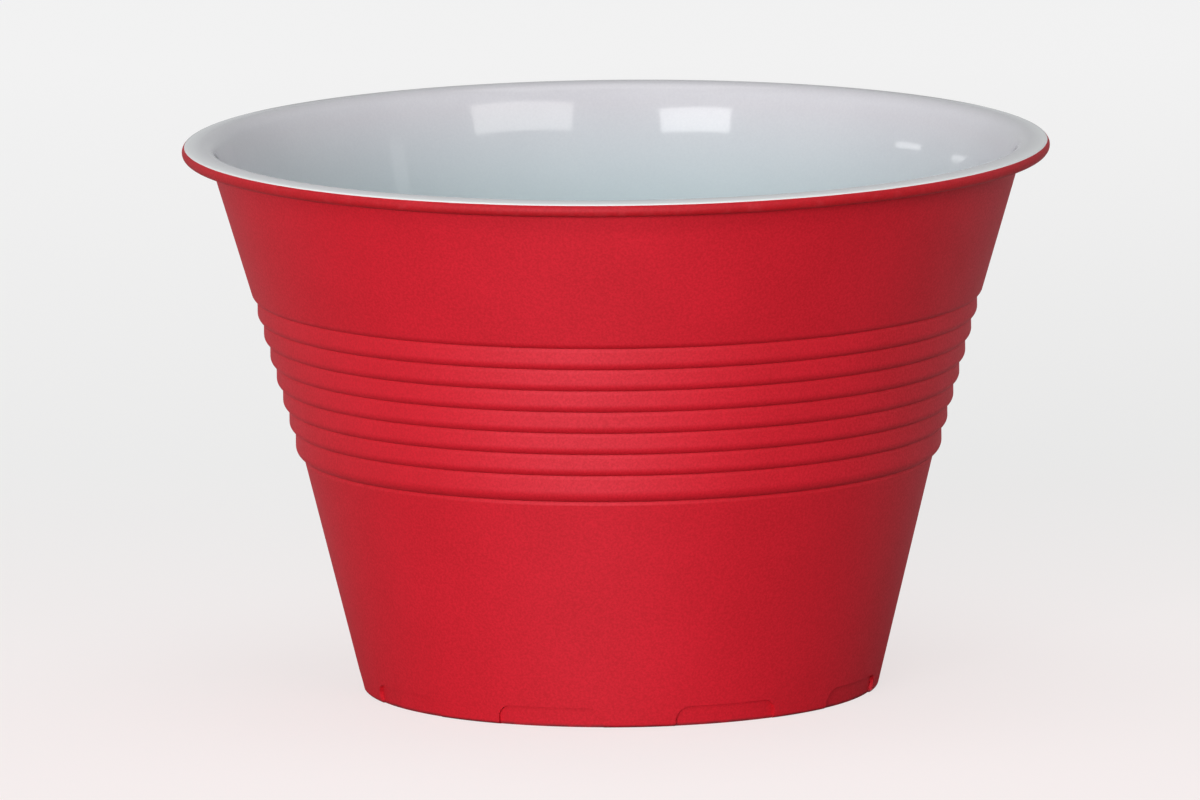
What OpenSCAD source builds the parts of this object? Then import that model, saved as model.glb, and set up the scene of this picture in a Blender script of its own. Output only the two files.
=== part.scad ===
// Squat party cup: one moulded piece with an out-turned lip, a banded wall and a standing foot.
// Millimetres. The cup stands on z = 0 and its axis is the z axis.

/* [Overall] */
// diameter across the lip
mouth_d = 98; // [80:1:110]
// height from the table to the top of the lip
cup_h = 62.4; // [61.4:0.2:66]
// how far the foot stands in from the edge of the lip, all round
foot_in = 19.9; // [18.5:0.1:21.9]

/* [Wall] */
// thickness of the wall, measured level
wall = 1; // [0.8:0.1:1.3]
// lean of the wall above the bands, from upright
upper_lean = 16.5; // [14:0.1:18]

/* [Lip] */
// how far the lip reaches out past the wall
lip_reach = 3.15; // [2.6:0.05:3.6]
// thickness of the lip at its rounded outer edge
lip_edge = 1.5; // [1.2:0.1:1.8]
// fall of the lip's top from its crest to its edge
lip_fall = 0.15; // [0.1:0.05:0.3]
// radius of the slow bend that opens the inside of the wall below the lip
mouth_bend = 48; // [36:1:60]
// how far that bend opens the inside, as an angle
mouth_open = 6; // [4:0.5:7]
// radius where the inside then turns over into the lip
mouth_round = 2; // [1.6:0.1:2.2]
// radius of the fillet between the lip and the outside of the wall
under_lip_fillet = 0.6; // [0.3:0.1:1]

/* [Bands] */
// height of the top groove above the table
bands_top = 44.75; // [43:0.05:46]
// number of even bands
even_bands = 6; // [4:1:7]
// height of an even band
band_h = 2.5; // [2.3:0.1:2.7]
// step inwards under an even band
band_step = 0.69; // [0.55:0.01:0.75]
// height of the lowest band
low_band_h = 3.1; // [2.8:0.1:3.6]
// step inwards under the lowest band
low_band_step = 0.9; // [0.75:0.01:1.1]
// angle from upright at which a band turns in to its groove
groove_turn = 80; // [70:1:84]
// how much deeper a groove is than the band below it
groove_cut = 0.1; // [0.05:0.01:0.15]
// how much deeper the last groove is than the wall below it
last_groove_cut = 0.2; // [0.1:0.01:0.25]
// height over which the wall comes out again below a groove
shoulder_h = 0.35; // [0.2:0.05:0.5]

/* [Floor] */
// height of the floor's underside above the table
floor_gap = 1.8; // [1.4:0.1:2.2]
// thickness of the floor
floor_thick = 1.1; // [0.9:0.1:1.5]
// radius of the bend between the floor and the inside of the wall
floor_bend = 2.5; // [2:0.1:4]

/* [Foot] */
// width of the ring that stands on the table
ring_w = 2.1; // [1.8:0.1:2.6]
// draft of the hollow under the floor, from upright
hollow_draft = 25; // [10:1:40]
// radius of the foot's outer edge on the table
foot_round = 0.4; // [0.2:0.1:0.5]

/* [Foot panels] */
// number of shallow arched panels round the foot, open at the table
panels = 9; // [6:1:10]
// width of a panel, straight across
panel_w = 12.1; // [8:0.1:13.5]
// direction of the first panel's middle, from the x axis
panel_start = -66; // [-90:1:-40]
// depth of a panel below the wall's surface
panel_depth = 0.4; // [0.25:0.05:0.5]
// height of a panel's top above the table
panel_h = 2.3; // [2:0.1:2.6]
// radius of a panel's two upper corners
panel_round = 1.6; // [0.8:0.1:1.9]

/* [Hidden] */
// facets of a full turn about the cup's axis
turn_facets = 120;
// facets of a small round in the wall's section
round_facets = 24;
// facets of the slow bend below the lip
bend_facets = 360;
// how far a cutting shape runs past what it cuts
over = 2;
// the inside rises by this share of the wall, so that the turns into the grooves keep their thickness
lift_share = 0.5;
lift = lift_share * wall;
edge_r = lip_edge / 2;
edge_mid = [mouth_d / 2 - edge_r, cup_h - lip_fall - edge_r];
under_lip = edge_mid.y - edge_r;
wall_top_r = mouth_d / 2 - lip_reach;
// the inside opens in a slow bend that ends where it turns over into the lip
mouth_lean = upper_lean + mouth_open;
bend_end_z = cup_h - mouth_round * (1 - sin(mouth_lean));
bend_start_z = bend_end_z - mouth_bend * (sin(mouth_lean) - sin(upper_lean));
bend_start = [upper_inside_r(bend_start_z), bend_start_z];
bend_mid = bend_start + mouth_bend * lean_out(upper_lean);
bend_end = bend_mid - mouth_bend * lean_out(mouth_lean);
mouth_mid = bend_end + mouth_round * lean_out(mouth_lean);
// the wall above the bands turns in to the top groove
turn_r = turn_radius(band_step + groove_cut);
turn_start_z = bands_top + turn_r * (sin(groove_turn) - sin(upper_lean));
turn_mid = [upper_r(turn_start_z), turn_start_z] - turn_r * lean_out(upper_lean);
// the face of the first band, then of the lowest one, and the wall at the groove under it
top_band_r = turn_mid.x + turn_r * cos(groove_turn) + groove_cut;
low_band_z = bands_top - even_bands * band_h;
low_band_r = top_band_r - even_bands * band_step;
last_groove_z = low_band_z - low_band_h;
last_groove_r = low_band_r - low_band_step;
foot_r = mouth_d / 2 - foot_in;
lower_lean = atan((last_groove_r - foot_r) / last_groove_z);
floor_top = floor_gap + floor_thick;

// Radius of the turn that takes a wall in by this much
function turn_radius(way_in) = way_in / (1 - cos(groove_turn));

// Direction that points out of a wall of this lean, and the one that points into the cup
function lean_out(lean) = [cos(lean), -sin(lean)];
function lean_in(lean) = -lean_out(lean);

// Outside radius of the wall above the bands, and below them
function upper_r(z) = wall_top_r - (under_lip - z) * tan(upper_lean);
function lower_r(z) = foot_r + z * tan(lower_lean);

// Inside radius of the wall at the same two stretches
function upper_inside_r(z) = upper_r(z - lift) - wall;
function lower_inside_r(z) = lower_r(z - lift) - wall;

// What lies between the corner at tip and a round of radius r that touches its sides at a and b
module corner(a, tip, b, mid, r) {
    difference() {
        polygon([a, tip, b, mid]);
        translate(mid) circle(r, $fn = round_facets);
    }
}

// One band of radius r below the groove at height z: out over its shoulder, upright, then in by way_in
module band(r, z, h, way_in) {
    turn = turn_radius(way_in);
    face_z = z - h + turn * sin(groove_turn);
    side = [[r - turn, face_z], [r, face_z], [r, z - shoulder_h], [r - groove_cut, z]];
    polygon(concat([[0, z - h], [r - turn, z - h]], side, [[0, z]]));
    translate([r - turn, face_z]) circle(turn, $fn = round_facets);
}

// Half section of everything within the wall's outside, from the table to above the lip
module outside_section() {
    rim = cup_h + over;
    above = [[upper_r(turn_start_z), turn_start_z], [upper_r(rim), rim], [0, rim]];
    polygon(concat([[0, bands_top], [turn_mid.x, bands_top], turn_mid], above));
    translate(turn_mid) circle(turn_r, $fn = round_facets);
    for (i = [0 : even_bands - 1]) {
        band(top_band_r - i * band_step, bands_top - i * band_h, band_h, band_step + groove_cut);
    }
    band(low_band_r, low_band_z, low_band_h, low_band_step + last_groove_cut);
    shoulder_z = last_groove_z - shoulder_h;
    shoulder = [[lower_r(shoulder_z), shoulder_z], [last_groove_r - last_groove_cut, last_groove_z]];
    polygon(concat([[0, 0], [foot_r, 0]], shoulder, [[0, last_groove_z]]));
}

// Half section of the space inside: it follows the outside, down to a flat floor with a round bend
module inside_section() {
    mid_z = floor_top + floor_bend;
    mid = [lower_inside_r(mid_z) - floor_bend / cos(lower_lean), mid_z];
    bend_z = mid_z - floor_bend * sin(lower_lean);
    rim = cup_h + over;
    intersection() {
        translate([-wall, lift]) outside_section();
        polygon([[0, bend_z], [mouth_d, bend_z], [mouth_d, rim], [0, rim]]);
    }
    translate(mid) circle(floor_bend, $fn = round_facets);
    polygon([[0, floor_top], [mid.x, floor_top], [mid.x, mid_z], [0, mid_z]]);
}

// Half section of the lip with its round outer edge, in to the axis
module lip_section() {
    reach = edge_mid - mouth_mid;
    fall = atan2(reach.y, reach.x) - asin((mouth_round - edge_r) / norm(reach));
    top = [-sin(fall), cos(fall)];
    side = lean_in(mouth_lean);
    far = mouth_round + over;
    low = mouth_mid.y - over;
    rim = cup_h + over;
    edge = [[edge_mid.x, low], edge_mid, edge_mid + edge_r * top];
    intersection() {
        union() {
            polygon(concat([[0, low]], edge, [mouth_mid + mouth_round * top, bend_end, [0, bend_end.y]]));
            intersection() {
                translate(mouth_mid) circle(mouth_round, $fn = round_facets);
                polygon([mouth_mid, mouth_mid + far * top, mouth_mid + far * (side + top), mouth_mid + far * side]);
            }
        }
        polygon([[0, under_lip], [mouth_d, under_lip], [mouth_d, rim], [0, rim]]);
    }
    translate(edge_mid) circle(edge_r, $fn = round_facets);
}

// Half section of the space inside where it bends open below the lip
module mouth_bend_section() {
    rim = cup_h + over;
    difference() {
        polygon([bend_end, [bend_end.x, rim], [0, rim], [0, bend_start.y], bend_start, bend_mid]);
        translate(bend_mid) circle(mouth_bend, $fn = bend_facets);
    }
}

// Half section of the fillet that joins the lip's underside to the wall
module lip_fillet_section() {
    r = under_lip_fillet;
    mid = [upper_r(under_lip - r) + r / cos(upper_lean), under_lip - r];
    tip = [upper_r(under_lip), under_lip];
    corner([mid.x, under_lip], tip, mid + r * lean_in(upper_lean), mid, r);
}

// Half section of the outer edge that the foot loses to its round
module foot_edge_section() {
    r = foot_round;
    mid = [lower_r(r) - r / cos(lower_lean), r];
    corner([mid.x, 0], [foot_r, 0], mid + r * lean_out(lower_lean), mid, r);
}

// Half section of the hollow under the floor, inside the standing ring
module hollow_section() {
    ring_r = foot_r - ring_w;
    narrowing = floor_gap * tan(hollow_draft);
    polygon([[0, -over], [ring_r, -over], [ring_r, 0], [ring_r - narrowing, floor_gap], [0, floor_gap]]);
}

// Half section of the whole cup
module cup_section() {
    difference() {
        union() {
            intersection() {
                outside_section();
                polygon([[0, 0], [mouth_d, 0], [mouth_d, under_lip], [0, under_lip]]);
            }
            lip_section();
            lip_fillet_section();
        }
        inside_section();
        mouth_bend_section();
        hollow_section();
        foot_edge_section();
    }
}

// Outline of one foot panel: an arch with two round corners
module panel_arch() {
    translate([-panel_w / 2, -over]) square([panel_w, over + panel_h - panel_round]);
    translate([panel_round - panel_w / 2, 0]) square([panel_w - 2 * panel_round, panel_h]);
    for (side = [-1, 1]) {
        translate([side * (panel_w / 2 - panel_round), panel_h - panel_round]) circle(panel_round, $fn = round_facets);
    }
}

// What lies outside the sunk surface of the panels, all round the foot
module panel_skin() {
    low_r = lower_r(-over) - panel_depth;
    high_r = lower_r(panel_h + over) - panel_depth;
    rotate_extrude($fn = turn_facets)
        polygon([[low_r, -over], [mouth_d, -over], [mouth_d, panel_h + over], [high_r, panel_h + over]]);
}

// Cutter for one foot panel, towards the x axis
module foot_panel() {
    intersection() {
        panel_skin();
        rotate([90, 0, 90]) linear_extrude(mouth_d / 2) panel_arch();
    }
}

module cup() {
    color("crimson") difference() {
        rotate_extrude($fn = turn_facets) cup_section();
        for (i = [0 : panels - 1]) {
            rotate(panel_start + i * 360 / panels) foot_panel();
        }
    }
}

cup();
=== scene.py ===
# A squat two-tone party cup on a pale floor: one turned moulding, satin red outside and glossy
# white inside.
# The cup's section is drawn in millimetres and brought to metres once it is turned.
from math import acos, asin, atan, atan2, cos, degrees, hypot, pi, radians, sin, tan

import bmesh
import bpy
from mathutils import Matrix, Quaternion, Vector


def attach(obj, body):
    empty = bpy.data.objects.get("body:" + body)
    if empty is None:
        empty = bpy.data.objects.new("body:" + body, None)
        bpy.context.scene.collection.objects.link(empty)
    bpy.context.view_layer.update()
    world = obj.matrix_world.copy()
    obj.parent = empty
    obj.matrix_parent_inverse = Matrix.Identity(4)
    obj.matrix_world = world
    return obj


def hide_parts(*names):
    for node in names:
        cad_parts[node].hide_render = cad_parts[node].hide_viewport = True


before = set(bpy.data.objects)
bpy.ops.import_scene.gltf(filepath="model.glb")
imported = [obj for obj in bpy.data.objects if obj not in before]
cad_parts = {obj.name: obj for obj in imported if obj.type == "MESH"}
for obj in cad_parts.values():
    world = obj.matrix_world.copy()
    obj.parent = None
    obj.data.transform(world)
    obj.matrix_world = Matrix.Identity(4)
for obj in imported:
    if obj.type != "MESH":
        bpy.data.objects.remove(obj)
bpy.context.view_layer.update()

# ---- the cup's sizes, in millimetres and degrees ----
METRE = 0.001
MOUTH_R = 49.0
CUP_H = 62.4
FOOT_R = 29.1
WALL = 1.0
LIFT = 0.5
UPPER_LEAN = 16.5
LIP_REACH = 3.15
LIP_EDGE_R = 0.75
LIP_FALL = 0.15
MOUTH_BEND = 48.0
MOUTH_OPEN = 6.0
MOUTH_ROUND = 2.0
UNDER_LIP_FILLET = 0.6
SEAM_TURN = 50.0
BANDS_TOP = 44.75
EVEN_BANDS = 6
BAND_H = 2.5
BAND_STEP = 0.69
LOW_BAND_H = 3.1
LOW_BAND_STEP = 0.9
GROOVE_TURN = 80.0
GROOVE_CUT = 0.1
LAST_GROOVE_CUT = 0.2
SHOULDER_H = 0.35
FLOOR_GAP = 1.8
FLOOR_TOP = 2.9
FLOOR_BEND = 2.5
RING_W = 2.1
HOLLOW_DRAFT = 25.0
FOOT_ROUND = 0.4
PANELS = 9
PANEL_ANGLE = 24.0
PANEL_START = -66.0
PANEL_DEPTH = 0.4
PANEL_H = 2.3
PANEL_ROUND = 1.6

# ---- the mesh: the cup is turned in as many equal parts as it has panels ----
PART_ANGLE = 360 / PANELS
GAP_STEPS = 5
CORNER_STEPS = 5
ARCH_STEPS = 11
FOOT_ROUND_STEPS = 6
BAND_TURN_STEPS = 10
TOP_TURN_STEPS = 8
FILLET_STEPS = 8
LIP_EDGE_STEPS = 16
LIP_TOP_STEPS = 5
MOUTH_ROUND_STEPS = 16
MOUTH_BEND_STEPS = 12
INSIDE_TOP_TURN_STEPS = 5
INSIDE_BAND_TURN_STEPS = 6
FLOOR_BEND_STEPS = 10
# how far a guard ring stands from the end of its stretch, how close corners are merged, and the
# slack allowed when a corner is looked up
GUARD = 0.12
MERGE = 0.0005
SAME_PLACE = 0.001
# edges that turn by more than this stay sharp
SHARP = 35.0


def along(lean_deg):
    """Direction that points out of a wall of this lean."""
    return Vector((cos(radians(lean_deg)), -sin(radians(lean_deg))))


def turn_radius(way_in):
    """Radius of the turn that takes a wall in by this much."""
    return way_in / (1 - cos(radians(GROOVE_TURN)))


def upper_r(z):
    """Outside radius of the wall above the bands."""
    return WALL_TOP_R - (UNDER_LIP - z) * tan(radians(UPPER_LEAN))


# ---- where the section's turns have their middles ----
EDGE_MID = Vector((MOUTH_R - LIP_EDGE_R, CUP_H - LIP_FALL - LIP_EDGE_R))
UNDER_LIP = EDGE_MID.y - LIP_EDGE_R
WALL_TOP_R = MOUTH_R - LIP_REACH
MOUTH_LEAN = UPPER_LEAN + MOUTH_OPEN
BEND_END_Z = CUP_H - MOUTH_ROUND * (1 - sin(radians(MOUTH_LEAN)))
BEND_RISE = MOUTH_BEND * (sin(radians(MOUTH_LEAN)) - sin(radians(UPPER_LEAN)))
BEND_START_Z = BEND_END_Z - BEND_RISE
BEND_START = Vector((upper_r(BEND_START_Z - LIFT) - WALL, BEND_START_Z))
BEND_MID = BEND_START + MOUTH_BEND * along(UPPER_LEAN)
BEND_END = BEND_MID - MOUTH_BEND * along(MOUTH_LEAN)
MOUTH_MID = BEND_END + MOUTH_ROUND * along(MOUTH_LEAN)
TURN_R = turn_radius(BAND_STEP + GROOVE_CUT)
TURN_START_Z = BANDS_TOP + TURN_R * (sin(radians(GROOVE_TURN)) - sin(radians(UPPER_LEAN)))
TURN_MID = Vector((upper_r(TURN_START_Z), TURN_START_Z)) - TURN_R * along(UPPER_LEAN)
TOP_BAND_R = TURN_MID.x + TURN_R * cos(radians(GROOVE_TURN)) + GROOVE_CUT
LAST_GROOVE_R = TOP_BAND_R - EVEN_BANDS * BAND_STEP - LOW_BAND_STEP
LAST_GROOVE_Z = BANDS_TOP - EVEN_BANDS * BAND_H - LOW_BAND_H
LOWER_LEAN = degrees(atan((LAST_GROOVE_R - FOOT_R) / LAST_GROOVE_Z))


def lower_r(z):
    """Outside radius of the wall below the bands."""
    return FOOT_R + z * tan(radians(LOWER_LEAN))


def bands():
    """The bands from the lowest up: radius, height of the groove below, band height and way in."""
    low_way_in = LOW_BAND_STEP + LAST_GROOVE_CUT
    rows = [(LAST_GROOVE_R + LOW_BAND_STEP, LAST_GROOVE_Z, LOW_BAND_H, low_way_in)]
    for _ in range(EVEN_BANDS):
        r, z, h, _ = rows[-1]
        rows.append((r + BAND_STEP, z + h, BAND_H, BAND_STEP + GROOVE_CUT))
    return rows


def turn_mid(r, z, way_in):
    """Middle of the turn that takes a band of radius r in to the groove at height z."""
    turn = turn_radius(way_in)
    return Vector((r - turn, z + turn * sin(radians(GROOVE_TURN))))


def corner_steps():
    """The round corner of a foot panel: angle in from its side and height, step by step."""
    steps = []
    for i in range(CORNER_STEPS + 1):
        swing = radians(90 * i / CORNER_STEPS)
        angle = degrees(PANEL_ROUND * (1 - cos(swing)) / FOOT_R)
        steps.append((angle, PANEL_H - PANEL_ROUND * (1 - sin(swing))))
    return steps


def arch_top(away):
    """Height of a foot panel's top edge at this angle from its middle."""
    reach = radians(PANEL_ANGLE / 2 - away) * FOOT_R / PANEL_ROUND
    if reach <= 0:
        return -1.0
    if reach >= 1:
        return PANEL_H
    return PANEL_H - PANEL_ROUND * (1 - sin(acos(1 - reach)))


# ---- a pen that draws the section in the plane y = 0 ----
def start_at(bm, r, z):
    """Puts the pen down at radius r and height z."""
    return bmesh.ops.create_vert(bm, co=(r, 0, z))["vert"][0]


def line_to(bm, pen, r, z):
    """Pulls a straight stretch from the pen to radius r and height z."""
    drawn = bmesh.ops.extrude_vert_indiv(bm, verts=[pen])["verts"][0]
    drawn.co = (r, 0, z)
    return drawn


def guarded_line_to(bm, pen, r, z):
    """A straight stretch with a ring close to each end, so that its long faces shade flat."""
    start = pen.co.copy()
    end = Vector((r, 0, z))
    share = GUARD / (end - start).length
    for t in (share, 1 - share, 1):
        at = start.lerp(end, t)
        pen = line_to(bm, pen, at.x, at.z)
    return pen


def arc_by(bm, pen, mid, turn, steps):
    """Swings the pen round mid by turn degrees, counter-clockwise with the radius to the right."""
    swung = bmesh.ops.spin(
        bm, geom=[pen], cent=(mid.x, 0, mid.y), axis=(0, -1, 0), angle=radians(turn),
        steps=steps, use_merge=False, use_duplicate=False)
    return [v for v in swung["geom_last"] if isinstance(v, bmesh.types.BMVert)][0]


def shoulder_to(bm, pen, r, z):
    """The short slope from a wall in to the groove above it."""
    share = GUARD / SHOULDER_H
    start = pen.co.copy()
    guard_r = start.x + (r - start.x) * (1 - share)
    guard_z = start.z + (z - start.z) * (1 - share)
    pen = line_to(bm, pen, guard_r, guard_z)
    return line_to(bm, pen, r, z)


def draw_outside(bm):
    """From the axis under the floor, round the foot and up the red side to the lip's seam."""
    ring_r = FOOT_R - RING_W
    pen = start_at(bm, 0, FLOOR_GAP)
    pen = guarded_line_to(bm, pen, ring_r - FLOOR_GAP * tan(radians(HOLLOW_DRAFT)), FLOOR_GAP)
    pen = guarded_line_to(bm, pen, ring_r, 0)
    pen = guarded_line_to(bm, pen, FOOT_R - PANEL_DEPTH, 0)
    foot_mid_r = lower_r(FOOT_ROUND) - FOOT_ROUND / cos(radians(LOWER_LEAN))
    foot_mid = Vector((foot_mid_r, FOOT_ROUND))
    pen = line_to(bm, pen, foot_mid.x, 0)
    pen = arc_by(bm, pen, foot_mid, 90 - LOWER_LEAN, FOOT_ROUND_STEPS)
    for _, z in (*corner_steps(), (0, PANEL_H + GUARD)):
        pen = line_to(bm, pen, lower_r(z), z)
    shoulder_z = LAST_GROOVE_Z - SHOULDER_H
    pen = guarded_line_to(bm, pen, lower_r(shoulder_z), shoulder_z)
    pen = shoulder_to(bm, pen, LAST_GROOVE_R - LAST_GROOVE_CUT, LAST_GROOVE_Z)
    for r, z, h, way_in in bands():
        pen = arc_by(bm, pen, turn_mid(r, z, way_in), GROOVE_TURN, BAND_TURN_STEPS)
        pen = guarded_line_to(bm, pen, r, z + h - SHOULDER_H)
        pen = shoulder_to(bm, pen, r - GROOVE_CUT, z + h)
    pen = arc_by(bm, pen, TURN_MID, GROOVE_TURN - UPPER_LEAN, TOP_TURN_STEPS)
    fillet_mid_z = UNDER_LIP - UNDER_LIP_FILLET
    fillet_mid_r = upper_r(fillet_mid_z) + UNDER_LIP_FILLET / cos(radians(UPPER_LEAN))
    fillet_mid = Vector((fillet_mid_r, fillet_mid_z))
    touch = fillet_mid - UNDER_LIP_FILLET * along(UPPER_LEAN)
    pen = guarded_line_to(bm, pen, touch.x, touch.y)
    pen = arc_by(bm, pen, fillet_mid, UPPER_LEAN - 90, FILLET_STEPS)
    pen = guarded_line_to(bm, pen, EDGE_MID.x, UNDER_LIP)
    arc_by(bm, pen, EDGE_MID, 90 + SEAM_TURN, LIP_EDGE_STEPS)


def draw_inside(bm):
    """From the seam over the lip's top, down the white side and across the floor to the axis."""
    reach = MOUTH_MID - EDGE_MID
    tangent = degrees(asin((MOUTH_ROUND - LIP_EDGE_R) / reach.length))
    top_turn = 90 + degrees(atan2(-reach.y, -reach.x)) - tangent
    seam = EDGE_MID + LIP_EDGE_R * Vector((cos(radians(SEAM_TURN)), sin(radians(SEAM_TURN))))
    pen = start_at(bm, seam.x, seam.y)
    pen = arc_by(bm, pen, EDGE_MID, top_turn - SEAM_TURN, LIP_TOP_STEPS)
    lip_top = Vector((cos(radians(top_turn)), sin(radians(top_turn))))
    touch = MOUTH_MID + MOUTH_ROUND * lip_top
    pen = line_to(bm, pen, touch.x, touch.y)
    pen = arc_by(bm, pen, MOUTH_MID, 180 - MOUTH_LEAN - top_turn, MOUTH_ROUND_STEPS)
    pen = arc_by(bm, pen, BEND_MID, MOUTH_OPEN, MOUTH_BEND_STEPS)
    shift = Vector((-WALL, LIFT))
    turn_top = TURN_MID + TURN_R * along(UPPER_LEAN) + shift
    pen = guarded_line_to(bm, pen, turn_top.x, turn_top.y)
    top_turn_in = UPPER_LEAN - GROOVE_TURN
    pen = arc_by(bm, pen, TURN_MID + shift, top_turn_in, INSIDE_TOP_TURN_STEPS)
    for r, z, h, way_in in reversed(bands()):
        mid = turn_mid(r, z, way_in) + shift
        pen = line_to(bm, pen, r + shift.x, z + h - SHOULDER_H + shift.y)
        pen = guarded_line_to(bm, pen, r + shift.x, mid.y)
        pen = arc_by(bm, pen, mid, -GROOVE_TURN, INSIDE_BAND_TURN_STEPS)
    shoulder_z = LAST_GROOVE_Z - SHOULDER_H
    pen = line_to(bm, pen, lower_r(shoulder_z) - WALL, shoulder_z + LIFT)
    bend_mid_z = FLOOR_TOP + FLOOR_BEND
    bend_mid_r = lower_r(bend_mid_z - LIFT) - WALL - FLOOR_BEND / cos(radians(LOWER_LEAN))
    bend_mid = Vector((bend_mid_r, bend_mid_z))
    touch = bend_mid + FLOOR_BEND * along(LOWER_LEAN)
    pen = guarded_line_to(bm, pen, touch.x, touch.y)
    pen = arc_by(bm, pen, bend_mid, LOWER_LEAN - 90, FLOOR_BEND_STEPS)
    guarded_line_to(bm, pen, 0, FLOOR_TOP)


def part_turns():
    """The turns that make one part and the steps of each: gap, arch with two corners, gap."""
    corner = [angle for angle, _ in corner_steps()]
    singles = [(after - before, 1) for before, after in zip(corner, corner[1:])]
    gap = [((PART_ANGLE - PANEL_ANGLE) / 2, GAP_STEPS)]
    arch = (PANEL_ANGLE - 2 * corner[-1], ARCH_STEPS)
    return [*gap, *singles, arch, *reversed(singles), *gap]


def turn_section(bm, draw, start_deg, slot):
    """Draws one side of the section and turns it through one part, in the given material slot."""
    before = set((*bm.verts, *bm.edges, *bm.faces))
    draw(bm)
    drawn = [g for g in (*bm.verts, *bm.edges) if g not in before]
    corners = [g for g in drawn if isinstance(g, bmesh.types.BMVert)]
    start = Matrix.Rotation(radians(start_deg), 3, "Z")
    bmesh.ops.rotate(bm, verts=corners, cent=(0, 0, 0), matrix=start)
    for angle, steps in part_turns():
        drawn = bmesh.ops.spin(
            bm, geom=drawn, cent=(0, 0, 0), axis=(0, 0, 1), angle=radians(angle),
            steps=steps, use_merge=False, use_duplicate=False)["geom_last"]
    for face in bm.faces:
        if face not in before:
            face.material_index = slot


def from_middle(point, middle_deg):
    """Angle of a point from the middle of a panel, without its sign."""
    return abs(degrees(atan2(point.y, point.x)) - middle_deg)


def sink_panel(bm, middle_deg):
    """Sinks one shallow arched panel, open at the bottom, into the outside of the foot."""
    corner = []
    for angle, height in corner_steps():
        for v in bm.verts:
            away = abs(from_middle(v.co, middle_deg) - (PANEL_ANGLE / 2 - angle))
            outside = hypot(v.co.x, v.co.y) > FOOT_R - PANEL_DEPTH
            if outside and abs(v.co.z - height) < SAME_PLACE and away < SAME_PLACE:
                corner.append(v)
    bmesh.ops.connect_verts(bm, verts=corner)
    region = []
    for face in bm.faces:
        at = face.calc_center_median()
        outside = hypot(at.x, at.y) > FOOT_R - PANEL_DEPTH
        if outside and at.z < arch_top(from_middle(at, middle_deg)):
            region.append(face)
    sunk = bmesh.ops.extrude_face_region(bm, geom=region)["geom"]
    for v in sunk:
        if isinstance(v, bmesh.types.BMVert):
            r = lower_r(v.co.z) - PANEL_DEPTH
            v.co.xy = v.co.xy.normalized() * r
    bmesh.ops.delete(bm, geom=region, context="FACES")


def build_cup():
    """The whole moulding as one closed mesh."""
    bm = bmesh.new()
    start = PANEL_START - PART_ANGLE / 2
    turn_section(bm, draw_outside, start, 0)
    turn_section(bm, draw_inside, start, 1)
    bmesh.ops.remove_doubles(bm, verts=bm.verts, dist=MERGE)
    sink_panel(bm, PANEL_START)
    bmesh.ops.spin(
        bm, geom=[*bm.verts, *bm.edges, *bm.faces], cent=(0, 0, 0), axis=(0, 0, 1),
        angle=radians(360 - PART_ANGLE), steps=PANELS - 1, use_merge=False, use_duplicate=True)
    bmesh.ops.remove_doubles(bm, verts=bm.verts, dist=MERGE)
    bmesh.ops.recalc_face_normals(bm, faces=bm.faces)
    bmesh.ops.scale(bm, vec=(METRE, METRE, METRE), verts=bm.verts)
    for face in bm.faces:
        face.smooth = True
    for edge in bm.edges:
        edge.smooth = edge.calc_face_angle(0.0) < radians(SHARP)
    mesh = bpy.data.meshes.new("cup_moulding")
    bm.to_mesh(mesh)
    bm.free()
    piece = bpy.data.objects.new("cup_moulding", mesh)
    bpy.context.scene.collection.objects.link(piece)
    return piece


# ---- materials: colours are linear, heights and radii in metres ----
RED_DEEP, RED_PALE = (0.54, 0.002, 0.009), (0.70, 0.006, 0.020)
# painted shade: the lip's red edge is painted deeper than the wall's red
LIP_SHADED_RED_DEEP, LIP_SHADED_RED_PALE = (0.43, 0.001, 0.004), (0.55, 0.002, 0.008)
RED_GLINT = (1.0, 0.54, 0.65, 1)
RUBBED_RED = (0.7, 0.09, 0.11)
RUBBED_SHARE, RUBBED_ROUGHNESS = 0.12, 0.1
# painted shade: a dark red along the standing edge stands in for the shade on the foot's rounding
FOOT_PAINTED_SHADE = (0.16, 0.012, 0.014)
FOOT_SHADE_FROM, FOOT_SHADE_TO = 0.0001, 0.0004
RED_GLOSS, RED_RELIEF = 0.8, 0.000009
RED_ROUGH, RED_SMOOTH = 0.7, 0.62
RED_LIP_FROM, RED_LIP_TO = 0.0479, 0.0484
WHITE_FLOOR = (0.76, 0.79, 0.8)
# painted shade and painted tint: the white is darker and lilac high under the mouth and cooler
# below, standing in for how the light falls
WHITE_LOW_DEEP, WHITE_LOW_PALE = (0.68, 0.80, 0.835), (0.71, 0.825, 0.855)
WHITE_HIGH_SHADED_DEEP, WHITE_HIGH_SHADED_PALE = (0.60, 0.59, 0.625), (0.65, 0.64, 0.67)
# painted highlight: the lip's outer white is painted paler, standing in for the light on its top
WHITE_LIP_HIGHLIGHT = (0.9, 0.92, 0.92)
WHITE_GLOSS, WHITE_RELIEF = 0.5, 0.000002
WHITE_SMOOTH, WHITE_ROUGH = 0.05, 0.08
WHITE_LIP_FROM, WHITE_LIP_TO = 0.0468, 0.0487
LOW_WALL_FROM, LOW_WALL_TO = 0.02, 0.044
HIGH_WALL_FROM, HIGH_WALL_TO = 0.048, 0.06


def group(name, inputs, outputs):
    """An empty node group with named sockets, and its two end nodes."""
    tree = bpy.data.node_groups.new(name, "ShaderNodeTree")
    for label, kind, value in inputs:
        socket = tree.interface.new_socket(name=label, in_out="INPUT", socket_type=kind)
        socket.default_value = value
    for label, kind in outputs:
        tree.interface.new_socket(name=label, in_out="OUTPUT", socket_type=kind)
    return tree, tree.nodes.new("NodeGroupInput"), tree.nodes.new("NodeGroupOutput")


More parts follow.
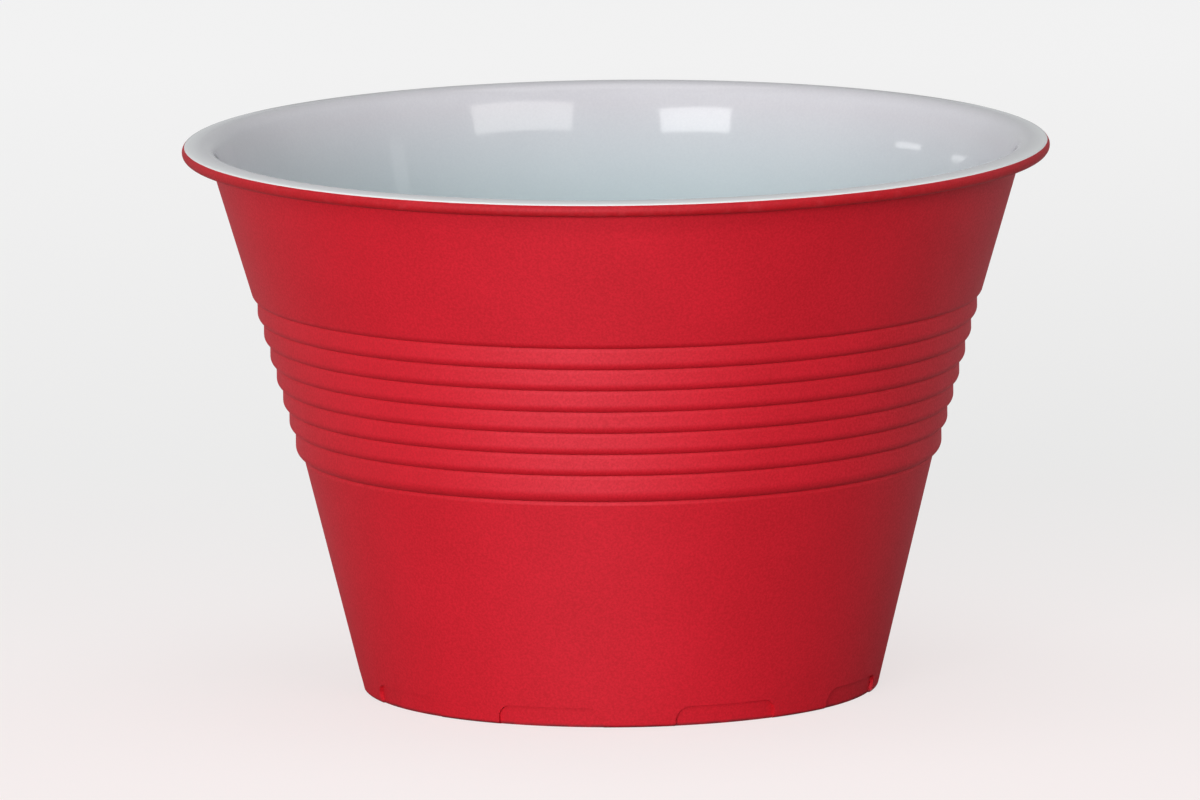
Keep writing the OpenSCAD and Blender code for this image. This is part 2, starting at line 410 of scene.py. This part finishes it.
def noise(tree, where, scale, detail=2.0, roughness=0.5):
    """A noise texture on the given coordinates."""
    node = tree.nodes.new("ShaderNodeTexNoise")
    node.inputs["Detail"].default_value = detail
    node.inputs["Roughness"].default_value = roughness
    if isinstance(scale, float):
        node.inputs["Scale"].default_value = scale
    else:
        tree.links.new(scale, node.inputs["Scale"])
    tree.links.new(where, node.inputs["Vector"])
    return node.outputs["Fac"]


def ranged(tree, value, low, high, to_low=0.0, to_high=1.0):
    """Maps a value from one range to another and clamps it."""
    node = tree.nodes.new("ShaderNodeMapRange")
    numbers = {"From Min": low, "From Max": high, "To Min": to_low, "To Max": to_high}
    for label, number in numbers.items():
        node.inputs[label].default_value = number
    tree.links.new(value, node.inputs["Value"])
    return node.outputs["Result"]


def arithmetic(tree, operation, a, b):
    """One step of arithmetic on two values, each a socket or a number."""
    node = tree.nodes.new("ShaderNodeMath")
    node.operation = operation
    for value, socket in ((a, node.inputs[0]), (b, node.inputs[1])):
        if isinstance(value, float):
            socket.default_value = value
        else:
            tree.links.new(value, socket)
    return node.outputs["Value"]


def mottle_group():
    """Slow unevenness of a moulded skin with a fine speckle in it: a mask from 0 to 1."""
    tree, given, made = group(
        "moulding_mottle",
        [("Vector", "NodeSocketVector", (0, 0, 0)), ("Clouds", "NodeSocketFloat", 60.0),
         ("Speckle", "NodeSocketFloat", 3000.0), ("Speckle Share", "NodeSocketFloat", 0.5)],
        [("Mask", "NodeSocketFloat")])
    where = given.outputs["Vector"]
    clouds = ranged(tree, noise(tree, where, given.outputs["Clouds"], 4.0, 0.6), 0.3, 0.7)
    speckle = ranged(tree, noise(tree, where, given.outputs["Speckle"], 2.0, 0.7), 0.36, 0.64)
    blend = tree.nodes.new("ShaderNodeMix")
    tree.links.new(given.outputs["Speckle Share"], blend.inputs["Factor"])
    tree.links.new(clouds, blend.inputs["A"])
    tree.links.new(speckle, blend.inputs["B"])
    tree.links.new(blend.outputs["Result"], made.inputs["Mask"])
    return tree


def grain_group():
    """Fine grain of a moulded skin over a slow waviness: a height."""
    tree, given, made = group(
        "moulding_grain",
        [("Vector", "NodeSocketVector", (0, 0, 0)), ("Grain", "NodeSocketFloat", 2500.0),
         ("Waves", "NodeSocketFloat", 150.0), ("Wave Share", "NodeSocketFloat", 0.3)],
        [("Height", "NodeSocketFloat")])
    where = given.outputs["Vector"]
    blend = tree.nodes.new("ShaderNodeMix")
    tree.links.new(given.outputs["Wave Share"], blend.inputs["Factor"])
    tree.links.new(noise(tree, where, given.outputs["Grain"], 2.0), blend.inputs["A"])
    tree.links.new(noise(tree, where, given.outputs["Waves"], 1.0), blend.inputs["B"])
    tree.links.new(blend.outputs["Result"], made.inputs["Height"])
    return tree


def lip_edge_group():
    """How far out on the lip a point lies, between two radii: a mask from 0 to 1."""
    tree, given, made = group(
        "lip_edge",
        [("Vector", "NodeSocketVector", (0, 0, 0)), ("From", "NodeSocketFloat", RED_LIP_FROM),
         ("To", "NodeSocketFloat", RED_LIP_TO)],
        [("Mask", "NodeSocketFloat")])
    level = tree.nodes.new("ShaderNodeVectorMath")
    level.operation = "MULTIPLY"
    level.inputs[1].default_value = (1, 1, 0)
    tree.links.new(given.outputs["Vector"], level.inputs[0])
    radius = tree.nodes.new("ShaderNodeVectorMath")
    radius.operation = "LENGTH"
    tree.links.new(level.outputs["Vector"], radius.inputs[0])
    spread = tree.nodes.new("ShaderNodeMapRange")
    tree.links.new(radius.outputs["Value"], spread.inputs["Value"])
    tree.links.new(given.outputs["From"], spread.inputs["From Min"])
    tree.links.new(given.outputs["To"], spread.inputs["From Max"])
    tree.links.new(spread.outputs["Result"], made.inputs["Mask"])
    return tree


def foot_shade_group():
    """The standing edge, painted dark as shade where the foot's rounding meets the floor: a mask
    from 0 to 1.
    """
    tree, given, made = group(
        "foot_edge", [("Vector", "NodeSocketVector", (0, 0, 0))], [("Mask", "NodeSocketFloat")])
    where = given.outputs["Vector"]
    parts = tree.nodes.new("ShaderNodeSeparateXYZ")
    tree.links.new(where, parts.inputs["Vector"])
    near = ranged(tree, parts.outputs["Z"], FOOT_SHADE_FROM, FOOT_SHADE_TO, 1.0, 0.0)
    # this noise only makes the painted shade uneven
    patches = ranged(tree, noise(tree, where, 500.0, 4.0, 0.65), 0.35, 0.6, 0.5, 1.0)
    tree.links.new(arithmetic(tree, "MULTIPLY", near, patches), made.inputs["Mask"])
    return tree


def wear_group():
    """Small scuffs: a mask from 0 to 1."""
    tree, given, made = group(
        "wear", [("Vector", "NodeSocketVector", (0, 0, 0)), ("Scale", "NodeSocketFloat", 700.0)],
        [("Mask", "NodeSocketFloat")])
    patches = noise(tree, given.outputs["Vector"], given.outputs["Scale"], 4.0, 0.65)
    tree.links.new(ranged(tree, patches, 0.52, 0.64), made.inputs["Mask"])
    return tree


def placed(material, shared, where, **values):
    """Puts a shared group into a material with its own values."""
    node = material.node_tree.nodes.new("ShaderNodeGroup")
    node.node_tree = shared
    for label, value in values.items():
        node.inputs[label.replace("_", " ")].default_value = value
    material.node_tree.links.new(where, node.inputs["Vector"])
    return node


def mixed(tree, mask, low, high):
    """A colour between two by a mask; each is a colour or a socket."""
    node = tree.nodes.new("ShaderNodeMix")
    node.data_type = "RGBA"
    tree.links.new(mask, node.inputs["Factor"])
    for colour, socket in ((low, node.inputs["A"]), (high, node.inputs["B"])):
        if isinstance(colour, tuple):
            socket.default_value = (*colour, 1)
        else:
            tree.links.new(colour, socket)
    return node.outputs["Result"]


def skin(name, gloss, relief, **grain):
    """A moulded plastic with its grain; the colour and roughness are still to come."""
    material = bpy.data.materials.new(name)
    material.use_nodes = True
    tree = material.node_tree
    shader = tree.nodes["Principled BSDF"]
    shader.inputs["Specular IOR Level"].default_value = gloss
    where = tree.nodes.new("ShaderNodeTexCoord").outputs["Object"]
    bump = tree.nodes.new("ShaderNodeBump")
    bump.inputs["Strength"].default_value = 1.0
    bump.inputs["Distance"].default_value = relief
    tree.links.new(placed(material, GRAIN, where, **grain).outputs["Height"], bump.inputs["Height"])
    tree.links.new(bump.outputs["Normal"], shader.inputs["Normal"])
    return material, tree, shader, where


def red_plastic():
    """Satin red, mottled and speckled: deeper on the lip's edge, which is painted shade, and a bit
    rubbed there; dark along the standing edge, also painted shade.
    """
    material, tree, shader, where = skin(
        "red_satin_plastic", RED_GLOSS, RED_RELIEF, Grain=3200.0, Waves=150.0, Wave_Share=0.2)
    shader.inputs["Specular Tint"].default_value = RED_GLINT
    mottle = placed(
        material, MOTTLE, where, Clouds=90.0, Speckle=3800.0, Speckle_Share=0.7).outputs["Mask"]
    lip = placed(material, LIP_EDGE, where, From=RED_LIP_FROM, To=RED_LIP_TO).outputs["Mask"]
    patches = placed(material, WEAR, where, Scale=700.0).outputs["Mask"]
    rubbed = arithmetic(tree, "MULTIPLY", lip, patches)
    colour = mixed(tree, mottle, RED_DEEP, RED_PALE)
    # painted shade on the lip's edge
    colour = mixed(tree, lip, colour, mixed(tree, mottle, LIP_SHADED_RED_DEEP, LIP_SHADED_RED_PALE))
    colour = mixed(tree, arithmetic(tree, "MULTIPLY", rubbed, RUBBED_SHARE), colour, RUBBED_RED)
    # painted shade along the standing edge
    foot = placed(material, FOOT_SHADE_MASK, where).outputs["Mask"]
    tree.links.new(mixed(tree, foot, colour, FOOT_PAINTED_SHADE), shader.inputs["Base Color"])
    rough = ranged(tree, mottle, 0.0, 1.0, RED_ROUGH, RED_SMOOTH)
    rougher = arithmetic(tree, "MULTIPLY", rubbed, RUBBED_ROUGHNESS)
    tree.links.new(arithmetic(tree, "ADD", rough, rougher), shader.inputs["Roughness"])
    return material


def white_plastic():
    """Glossy white: darker and lilac high under the mouth and cooler below it, which is painted
    shade and a painted tint of the light; plain towards the floor; paler out on the lip, a painted
    highlight.
    """
    material, tree, shader, where = skin(
        "white_gloss_plastic", WHITE_GLOSS, WHITE_RELIEF, Grain=1500.0, Waves=300.0, Wave_Share=0.8)
    mottle = placed(
        material, MOTTLE, where, Clouds=60.0, Speckle=3800.0, Speckle_Share=0.5).outputs["Mask"]
    parts = tree.nodes.new("ShaderNodeSeparateXYZ")
    tree.links.new(where, parts.inputs["Vector"])
    # painted shade and tint of the light, by height on the wall
    shaded_high_wall = ranged(tree, parts.outputs["Z"], HIGH_WALL_FROM, HIGH_WALL_TO)
    deep = mixed(tree, shaded_high_wall, WHITE_LOW_DEEP, WHITE_HIGH_SHADED_DEEP)
    pale = mixed(tree, shaded_high_wall, WHITE_LOW_PALE, WHITE_HIGH_SHADED_PALE)
    low_wall = ranged(tree, parts.outputs["Z"], LOW_WALL_FROM, LOW_WALL_TO)
    wall = mixed(tree, low_wall, WHITE_FLOOR, mixed(tree, mottle, deep, pale))
    lip = placed(material, LIP_EDGE, where, From=WHITE_LIP_FROM, To=WHITE_LIP_TO).outputs["Mask"]
    # painted highlight out on the lip
    tree.links.new(mixed(tree, lip, wall, WHITE_LIP_HIGHLIGHT), shader.inputs["Base Color"])
    rough = ranged(tree, mottle, 0.0, 1.0, WHITE_SMOOTH, WHITE_ROUGH)
    tree.links.new(rough, shader.inputs["Roughness"])
    return material


MOTTLE = mottle_group()
GRAIN = grain_group()
WEAR = wear_group()
FOOT_SHADE_MASK = foot_shade_group()
LIP_EDGE = lip_edge_group()

cup = build_cup()
cup.data.materials.append(red_plastic())
cup.data.materials.append(white_plastic())
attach(cup, "root")
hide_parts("cup")


# ---- floor, light and camera: metres and degrees ----
FLOOR_R = 6.0
FLOOR_SEGMENTS = 64
FLOOR_DROP = 0.00002
# what the floor throws back in front of the cup and behind it, and the colour the camera sees
FLOOR_BOUNCE_FRONT, FLOOR_BOUNCE_BACK = (0.17, 0.17, 0.17), (0.86, 0.86, 0.86)
BOUNCE_FROM, BOUNCE_TO = -0.05, 0.1
FLOOR_SEEN = (0.86, 0.85, 0.85)
# the lift that the camera sees on the floor: in front a painted red bounce of light, just behind
# the cup painted shade, and far behind plain
FLOOR_LIFT = 0.7
LIFT_FRONT_PAINTED_BOUNCE, LIFT_NEAR_PAINTED_SHADE, LIFT_FAR = (1.06, 0.985, 0.98), (0.965, 0.965, 0.96), (1.07, 1.07, 1.07)
LIFT_FROM, LIFT_MID, LIFT_TO = -0.08, 0.16, 0.5
# strength of the world for plain light, mirrored in front and behind, and seen as the backdrop;
# the mirrored strength changes between the two directions along y that SKY_FRONT and SKY_BACK give
SKY_LIGHT = 0.25
SKY_MIRRORED = 0.12
SKY_MIRRORED_BEHIND = 0.6
SKY_SEEN = 0.87
SKY_FRONT, SKY_BACK = -0.3, 0.6
SKY_COLOUR = (0.96, 0.985, 1.0, 1)
WHITE, COOL, CREAM = (1.0, 1.0, 1.0), (1.0, 0.985, 0.99), (1.0, 0.98, 0.95)
# name, azimuth, elevation, distance, width, height, radiance, colour, roll, mirrored
LAMPS = (
    ("left_box", -26.0, 29.4, 1.3, 0.46, 0.16, 5.3, WHITE, 3.0, True),
    ("right_box", 30.5, 30.7, 1.3, 0.66, 0.19, 3.4, CREAM, -5.0, True),
    ("left_window", -102.0, 14.7, 1.3, 0.25, 0.025, 3.6, WHITE, 12.8, True),
    ("far_left_window", -128.0, 7.6, 1.3, 0.2, 0.018, 2.2, WHITE, 14.6, True),
    ("right_window", 73.0, 19.0, 1.3, 0.11, 0.08, 0.8, WHITE, 0.0, True),
    ("front_glow", -14.0, 7.0, 1.8, 0.9, 0.4, 22.0, COOL, 0.0, True),
    ("left_glow", -104.0, 12.0, 1.6, 0.8, 0.6, 2.0, COOL, 0.0, False),
    ("right_glow", 106.0, 12.0, 1.6, 0.8, 0.6, 1.8, COOL, 0.0, False),
    ("top_glow", 0.0, 89.0, 2.2, 1.6, 1.6, 1.2, WHITE, 0.0, True),
)
# the camera that was fitted to the photo; its focal length is in the photo's pixels
PHOTO_W = 1200
FOCAL_PX = 23001.14
SENSOR_W = 36.0
FAR_CLIP = 100.0
CAMERA_AT = (0, -2.569188, 0.438188)
PITCH, ROLL, YAW = 8.9705, -0.5725, -0.0461


def floor_paint():
    """Pale floor paint; the camera sees it lifted, with a painted red bounce in front of the cup
    and painted shade just behind it, and it throws back less light in front.
    """
    material = bpy.data.materials.new("pale_floor")
    material.use_nodes = True
    tree = material.node_tree
    tree.nodes.clear()
    parts = tree.nodes.new("ShaderNodeSeparateXYZ")
    where = tree.nodes.new("ShaderNodeTexCoord").outputs["Object"]
    tree.links.new(where, parts.inputs["Vector"])
    seen = tree.nodes.new("ShaderNodeLightPath").outputs["Is Camera Ray"]
    behind = ranged(tree, parts.outputs["Y"], BOUNCE_FROM, BOUNCE_TO)
    paint = tree.nodes.new("ShaderNodeBsdfDiffuse")
    bounced = mixed(tree, behind, FLOOR_BOUNCE_FRONT, FLOOR_BOUNCE_BACK)
    tree.links.new(mixed(tree, seen, bounced, FLOOR_SEEN), paint.inputs["Color"])
    lift = tree.nodes.new("ShaderNodeEmission")
    near = ranged(tree, parts.outputs["Y"], LIFT_FROM, LIFT_MID)
    far = ranged(tree, parts.outputs["Y"], LIFT_MID, LIFT_TO)
    # painted red bounce in front of the cup and painted shade just behind it
    tone = mixed(tree, near, LIFT_FRONT_PAINTED_BOUNCE, LIFT_NEAR_PAINTED_SHADE)
    tree.links.new(mixed(tree, far, tone, LIFT_FAR), lift.inputs["Color"])
    both = tree.nodes.new("ShaderNodeMixShader")
    tree.links.new(arithmetic(tree, "MULTIPLY", seen, FLOOR_LIFT), both.inputs["Fac"])
    tree.links.new(paint.outputs["BSDF"], both.inputs[1])
    tree.links.new(lift.outputs["Emission"], both.inputs[2])
    surface = tree.nodes.new("ShaderNodeOutputMaterial").inputs["Surface"]
    tree.links.new(both.outputs["Shader"], surface)
    return material


def build_floor():
    """A wide pale floor that the cup stands on."""
    bm = bmesh.new()
    bmesh.ops.create_circle(bm, cap_ends=True, segments=FLOOR_SEGMENTS, radius=FLOOR_R)
    bmesh.ops.translate(bm, verts=bm.verts, vec=(0, 0, -FLOOR_DROP))
    mesh = bpy.data.meshes.new("floor")
    bm.to_mesh(mesh)
    bm.free()
    floor = bpy.data.objects.new("floor", mesh)
    bpy.context.scene.collection.objects.link(floor)
    mesh.materials.append(floor_paint())


def soft_box(
        name, azimuth, elevation, distance, width, height, radiance, colour, roll, mirrored):
    """A rectangular lamp facing the mouth; azimuth 0 is the camera's side, positive its right."""
    data = bpy.data.lights.new(name, "AREA")
    data.shape = "RECTANGLE"
    data.size = width
    data.size_y = height
    data.energy = radiance * pi * width * height
    data.color = colour
    lamp = bpy.data.objects.new(name, data)
    a, e = radians(azimuth), radians(elevation)
    mouth = Vector((0, 0, CUP_H * METRE))
    away = Vector((sin(a) * cos(e), -cos(a) * cos(e), sin(e)))
    lamp.location = mouth + distance * away
    rolled = Quaternion((0, 0, 1), radians(roll))
    lamp.rotation_euler = (away.to_track_quat("Z", "Y") @ rolled).to_euler()
    lamp.visible_camera = False
    lamp.visible_glossy = mirrored
    bpy.context.scene.collection.objects.link(lamp)


def light_studio():
    """Plain soft light from all round, and lamps whose reflections the white inside shows."""
    world = bpy.data.worlds.new("studio")
    world.use_nodes = True
    tree = world.node_tree
    sky = tree.nodes["Background"]
    sky.inputs["Color"].default_value = SKY_COLOUR
    path = tree.nodes.new("ShaderNodeLightPath")
    parts = tree.nodes.new("ShaderNodeSeparateXYZ")
    where = tree.nodes.new("ShaderNodeTexCoord").outputs["Generated"]
    tree.links.new(where, parts.inputs["Vector"])
    mirrored = ranged(
        tree, parts.outputs["Y"], SKY_FRONT, SKY_BACK, SKY_MIRRORED, SKY_MIRRORED_BEHIND)
    glossy = arithmetic(tree, "MULTIPLY", path.outputs["Is Glossy Ray"], mirrored)
    glossy = arithmetic(tree, "MAXIMUM", glossy, SKY_LIGHT)
    backdrop = ranged(tree, path.outputs["Is Camera Ray"], 0.0, 1.0, 0.0, SKY_SEEN)
    tree.links.new(arithmetic(tree, "MAXIMUM", backdrop, glossy), sky.inputs["Strength"])
    bpy.context.scene.world = world
    for lamp in LAMPS:
        soft_box(*lamp)


def place_camera():
    """The photographed view: a long lens, a little above the rim."""
    data = bpy.data.cameras.new("camera")
    data.sensor_width = SENSOR_W
    data.lens = FOCAL_PX / PHOTO_W * SENSOR_W
    data.clip_end = FAR_CLIP
    camera = bpy.data.objects.new("camera", data)
    pitch, roll, yaw = radians(PITCH), radians(ROLL), radians(YAW)
    ahead = Vector((sin(yaw) * cos(pitch), cos(yaw) * cos(pitch), -sin(pitch)))
    level = ahead.cross(Vector((0, 0, 1))).normalized()
    up = level.cross(ahead)
    right = cos(roll) * level + sin(roll) * up
    up = right.cross(ahead)
    camera.matrix_world = Matrix((right, up, -ahead)).transposed().to_4x4()
    camera.location = CAMERA_AT
    bpy.context.scene.collection.objects.link(camera)
    bpy.context.scene.camera = camera


build_floor()
light_studio()
place_camera()
bpy.context.scene.view_settings.view_transform = "Standard"
